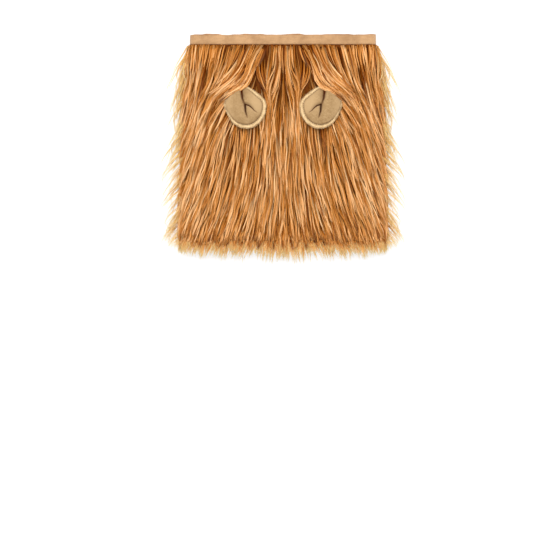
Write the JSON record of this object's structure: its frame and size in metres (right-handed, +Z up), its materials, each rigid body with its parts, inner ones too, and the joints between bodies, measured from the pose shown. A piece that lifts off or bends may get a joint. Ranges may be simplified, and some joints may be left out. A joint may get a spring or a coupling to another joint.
{
  "type": "lion mane costume wig for a dog",
  "caption": "Lion mane costume for a dog: a flat-lying tube of long caramel fur cloth with an elastic band at the neck end, two felt ears on top and a soft fringe at the hem.",
  "frame": {"origin": "middle of the footprint, on the surface that the costume lies on", "axes": "+X across the costume towards the right ear as the picture shows it, +Y from the fringed hem towards the neck band, +Z up through the side that carries the ears"},
  "size_m": [0.3926, 0.3754, 0.0526],
  "materials": {
    "band_cloth": "plain tan cloth casing, gathered a little by its elastic",
    "backing_cloth": "knitted backing of fur cloth",
    "fur": "long caramel pile with a silky sheen, darker at the roots and paler at the tips",
    "ear_felt": "short plush",
    "ear_rim_felt": "short plush, pale at the cut edge"
  },
  "bodies": {
    "root": {"neck_band": "band_cloth", "backing_tube": "backing_cloth", "front_fur": "fur", "back_fur": "fur", "left_ear_back": "ear_rim_felt", "left_ear_front": "ear_felt", "right_ear_back": "ear_rim_felt", "right_ear_front": "ear_felt"}
  },
  "joints": []
}
